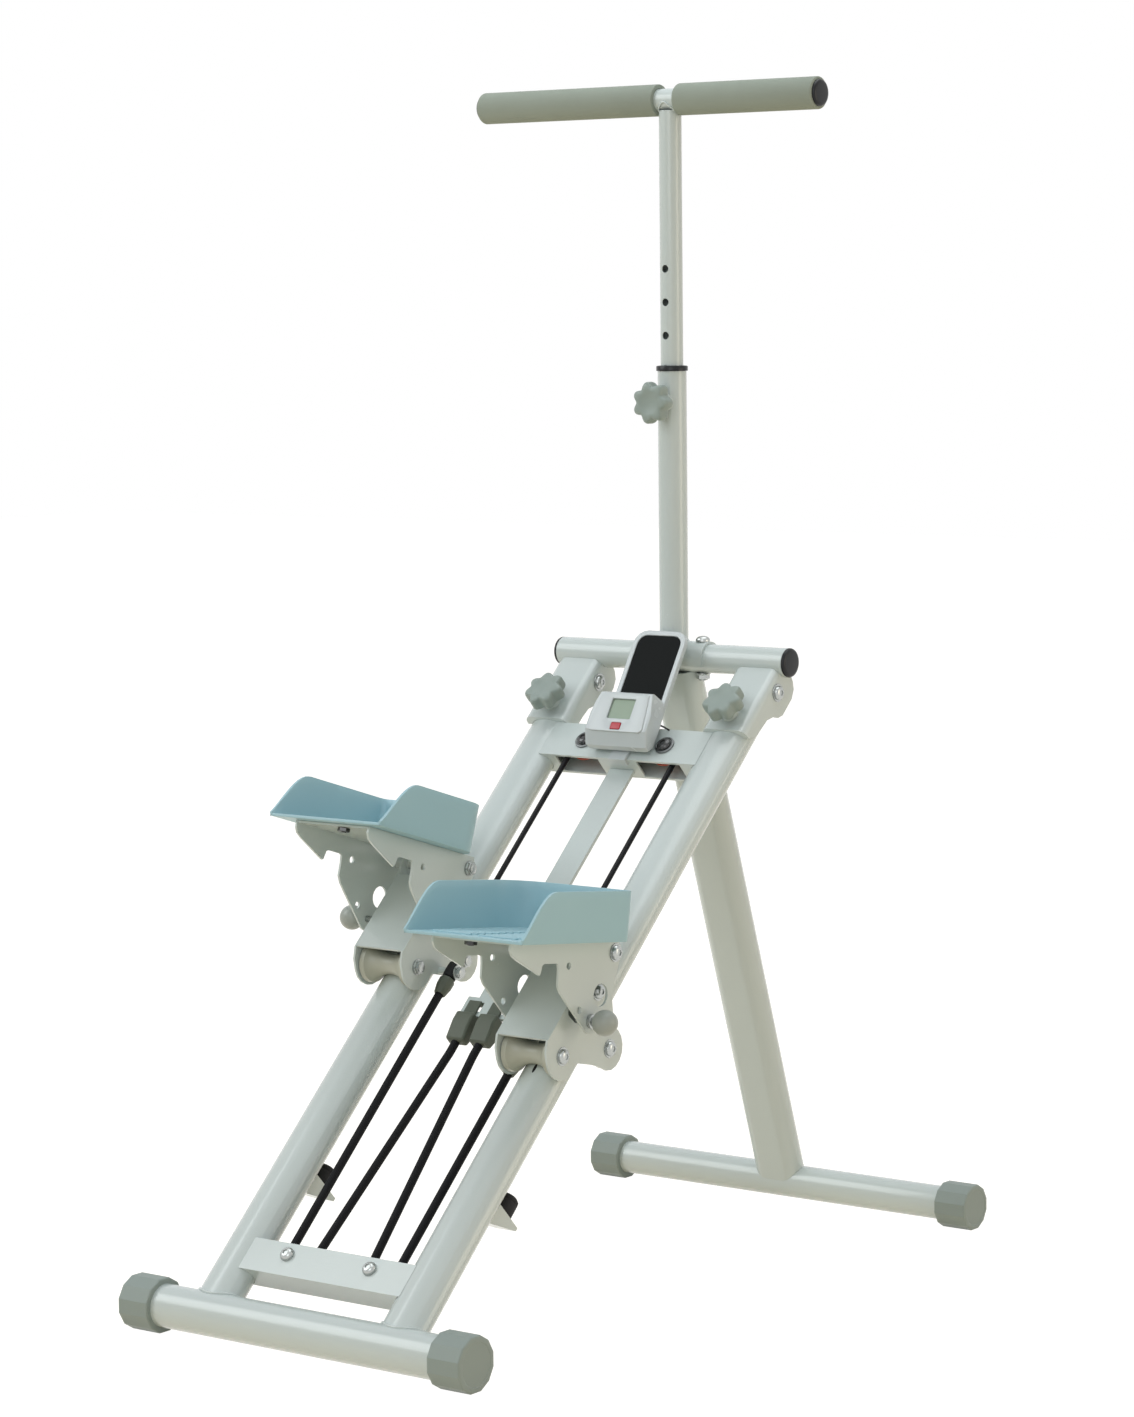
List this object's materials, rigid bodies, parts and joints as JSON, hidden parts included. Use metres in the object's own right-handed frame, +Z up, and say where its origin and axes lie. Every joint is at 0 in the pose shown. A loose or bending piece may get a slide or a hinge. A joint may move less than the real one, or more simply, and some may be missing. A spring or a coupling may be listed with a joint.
{
  "type": "folding stair climber",
  "caption": "Folding A-frame stair climber with foot trays on roller carriages, a cable over pulleys, elastic cords, a console with a phone rest and a height-adjustable T-handlebar.",
  "frame": {"origin": "on the floor below the middle of the object's box", "axes": "+Z up; +Y the way the user faces; +X to the user's right"},
  "size_m": [0.524, 0.9134, 1.2833],
  "materials": {
    "black_plastic": "satin",
    "black_rubber": "matte",
    "button_plastic": "satin",
    "cap_plastic": "matte",
    "console_plastic": "gloss",
    "display_window": "gloss",
    "grip_foam": "matte",
    "hook_plastic": "matte",
    "knob_plastic": "satin",
    "pulley_plastic": "satin",
    "roller_plastic": "satin",
    "tray_plastic": "satin",
    "white_paint": "gloss",
    "zinc_steel": "satin"
  },
  "bodies": {
    "base": {"front_foot_tube": "white_paint", "front_foot_cap_left": "cap_plastic", "front_foot_cap_right": "cap_plastic", "left_rail": "white_paint", "right_rail": "white_paint", "bumper_left": "black_rubber", "bumper_right": "black_rubber", "upper_cross_member": "white_paint", "lower_cross_member": "white_paint", "centre_bar": "white_paint", "cord_hook_left": "hook_plastic", "cord_hook_right": "hook_plastic", "lift_cable": "black_plastic", "elastic_cord_left": "black_rubber", "elastic_cord_right": "black_rubber", "console_housing": "console_plastic", "console_display": "display_window", "phone_rest": "console_plastic", "phone_pad": "black_rubber"},
    "reset_button": {"reset_button": "button_plastic"},
    "head": {"head_crossbar": "white_paint", "crossbar_cap_left": "black_plastic", "crossbar_cap_right": "black_plastic", "fold_bracket_left": "white_paint", "fold_bracket_right": "white_paint", "fold_bolt_left": "zinc_steel", "fold_bolt_right": "zinc_steel", "rear_leg": "white_paint", "rear_foot_tube": "white_paint", "rear_foot_cap_left": "cap_plastic", "rear_foot_cap_right": "cap_plastic", "outer_stem": "white_paint", "stem_collar": "black_plastic"},
    "handlebar": {"inner_stem": "white_paint", "grip_left": "grip_foam", "grip_right": "grip_foam", "bar_cap_left": "black_plastic", "bar_cap_right": "black_plastic"},
    "height_knob": {"height_knob": "knob_plastic"},
    "fold_knob_left": {"fold_knob_left": "knob_plastic"},
    "left_carriage": {"left_carriage_frame": "white_paint"},
    "left_front_lower_roller": {"left_front_lower_roller": "roller_plastic"},
    "left_front_upper_roller": {"left_front_upper_roller": "roller_plastic"},
    "left_rear_roller": {"left_rear_roller": "roller_plastic"},
    "left_pedal": {"left_pedal_bracket": "white_paint", "left_tray": "tray_plastic"},
    "left_pull_pin": {"left_pull_pin": "knob_plastic"},
    "upper_pulley_left": {"upper_pulley_left": "pulley_plastic"},
    "lower_pulley_left": {"lower_pulley_left": "pulley_plastic"},
    "fold_knob_right": {"fold_knob_right": "knob_plastic"},
    "right_carriage": {"right_carriage_frame": "white_paint"},
    "right_front_lower_roller": {"right_front_lower_roller": "roller_plastic"},
    "right_front_upper_roller": {"right_front_upper_roller": "roller_plastic"},
    "right_rear_roller": {"right_rear_roller": "roller_plastic"},
    "right_pedal": {"right_pedal_bracket": "white_paint", "right_tray": "tray_plastic"},
    "right_pull_pin": {"right_pull_pin": "knob_plastic"},
    "upper_pulley_right": {"upper_pulley_right": "pulley_plastic"},
    "lower_pulley_right": {"lower_pulley_right": "pulley_plastic"}
  },
  "joints": [
    {"name": "fold", "type": "hinge", "parent": "base", "child": "head", "pos_m": [0, 0.20402, 0.62217], "axis": [1, 0, 0], "range_deg": [-58.3, 0]},
    {"name": "stem_height", "type": "slide", "parent": "head", "child": "handlebar", "axis": [0, 0, 1], "range_m": [-0.146, 0]},
    {"name": "height_knob_turn", "type": "hinge", "parent": "head", "child": "height_knob", "pos_m": [0, 0.19105, 0.93577], "axis": [0, -1, 0], "continuous": true},
    {"name": "reset_press", "type": "slide", "parent": "base", "child": "reset_button", "axis": [0, 0.848, -0.5299], "range_m": [0, 0.0015], "stiffness_N_per_m": 600},
    {"name": "fold_knob_left_turn", "type": "hinge", "parent": "head", "child": "fold_knob_left", "pos_m": [-0.1205, 0.14977, 0.6085], "axis": [0, -0.682, 0.7314], "continuous": true},
    {"name": "left_climb", "type": "slide", "parent": "base", "child": "left_carriage", "axis": [0, 0.7314, 0.682], "range_m": [-0.265, 0.176], "deforming": ["lift_cable", "elastic_cord_left"]},
    {"name": "left_front_lower_roller_spin", "type": "hinge", "parent": "left_carriage", "child": "left_front_lower_roller", "pos_m": [-0.1205, -0.13039, 0.34588], "axis": [1, 0, 0], "continuous": true},
    {"name": "left_front_upper_roller_spin", "type": "hinge", "parent": "left_carriage", "child": "left_front_upper_roller", "pos_m": [-0.1205, -0.06822, 0.40385], "axis": [1, 0, 0], "continuous": true},
    {"name": "left_rear_roller_spin", "type": "hinge", "parent": "left_carriage", "child": "left_rear_roller", "pos_m": [-0.1205, -0.04987, 0.34165], "axis": [1, 0, 0], "continuous": true},
    {"name": "left_pedal_tilt", "type": "hinge", "parent": "left_carriage", "child": "left_pedal", "pos_m": [-0.1205, -0.06114, 0.44464], "axis": [1, 0, 0], "range_deg": [0, 10.3]},
    {"name": "left_pull_pin_pull", "type": "slide", "parent": "left_pedal", "child": "left_pull_pin", "axis": [-1, 0, 0], "range_m": [0, 0.012], "stiffness_N_per_m": 500},
    {"name": "upper_pulley_left_spin", "type": "hinge", "parent": "base", "child": "upper_pulley_left", "pos_m": [-0.054, 0.13148, 0.56067], "axis": [0, -0.682, 0.7314], "continuous": true},
    {"name": "lower_pulley_left_spin", "type": "hinge", "parent": "base", "child": "lower_pulley_left", "pos_m": [-0.054, -0.3719, 0.07554], "axis": [0, -0.682, 0.7314], "continuous": true},
    {"name": "fold_knob_right_turn", "type": "hinge", "parent": "head", "child": "fold_knob_right", "pos_m": [0.1205, 0.14977, 0.6085], "axis": [0, -0.682, 0.7314], "continuous": true},
    {"name": "right_climb", "type": "slide", "parent": "base", "child": "right_carriage", "axis": [0, 0.7314, 0.682], "range_m": [-0.176, 0.265], "deforming": ["elastic_cord_right"]},
    {"name": "right_front_lower_roller_spin", "type": "hinge", "parent": "right_carriage", "child": "right_front_lower_roller", "pos_m": [0.1205, -0.19548, 0.28518], "axis": [1, 0, 0], "continuous": true},
    {"name": "right_front_upper_roller_spin", "type": "hinge", "parent": "right_carriage", "child": "right_front_upper_roller", "pos_m": [0.1205, -0.13331, 0.34315], "axis": [1, 0, 0], "continuous": true},
    {"name": "right_rear_roller_spin", "type": "hinge", "parent": "right_carriage", "child": "right_rear_roller", "pos_m": [0.1205, -0.11496, 0.28095], "axis": [1, 0, 0], "continuous": true},
    {"name": "right_pedal_tilt", "type": "hinge", "parent": "right_carriage", "child": "right_pedal", "pos_m": [0.1205, -0.12623, 0.38394], "axis": [1, 0, 0], "range_deg": [-10.3, 0]},
    {"name": "right_pull_pin_pull", "type": "slide", "parent": "right_pedal", "child": "right_pull_pin", "axis": [1, 0, 0], "range_m": [0, 0.012], "stiffness_N_per_m": 500},
    {"name": "upper_pulley_right_spin", "type": "hinge", "parent": "base", "child": "upper_pulley_right", "pos_m": [0.054, 0.13148, 0.56067], "axis": [0, -0.682, 0.7314], "continuous": true},
    {"name": "lower_pulley_right_spin", "type": "hinge", "parent": "base", "child": "lower_pulley_right", "pos_m": [0.054, -0.3719, 0.07554], "axis": [0, -0.682, 0.7314], "continuous": true}
  ],
  "couplings": [
    {"joint": "left_front_lower_roller_spin", "follows": "left_climb", "rad_per_m": -93.458},
    {"joint": "left_front_upper_roller_spin", "follows": "left_climb", "rad_per_m": -93.458},
    {"joint": "left_rear_roller_spin", "follows": "left_climb", "rad_per_m": 93.458},
    {"joint": "upper_pulley_left_spin", "follows": "left_climb", "rad_per_m": -58.824},
    {"joint": "lower_pulley_left_spin", "follows": "left_climb", "rad_per_m": -24.706},
    {"joint": "right_climb", "follows": "left_climb", "ratio": -1},
    {"joint": "right_front_lower_roller_spin", "follows": "left_climb", "rad_per_m": 93.458},
    {"joint": "right_front_upper_roller_spin", "follows": "left_climb", "rad_per_m": 93.458},
    {"joint": "right_rear_roller_spin", "follows": "left_climb", "rad_per_m": -93.458},
    {"joint": "upper_pulley_right_spin", "follows": "left_climb", "rad_per_m": -58.824},
    {"joint": "lower_pulley_right_spin", "follows": "left_climb", "rad_per_m": -24.706}
  ]
}
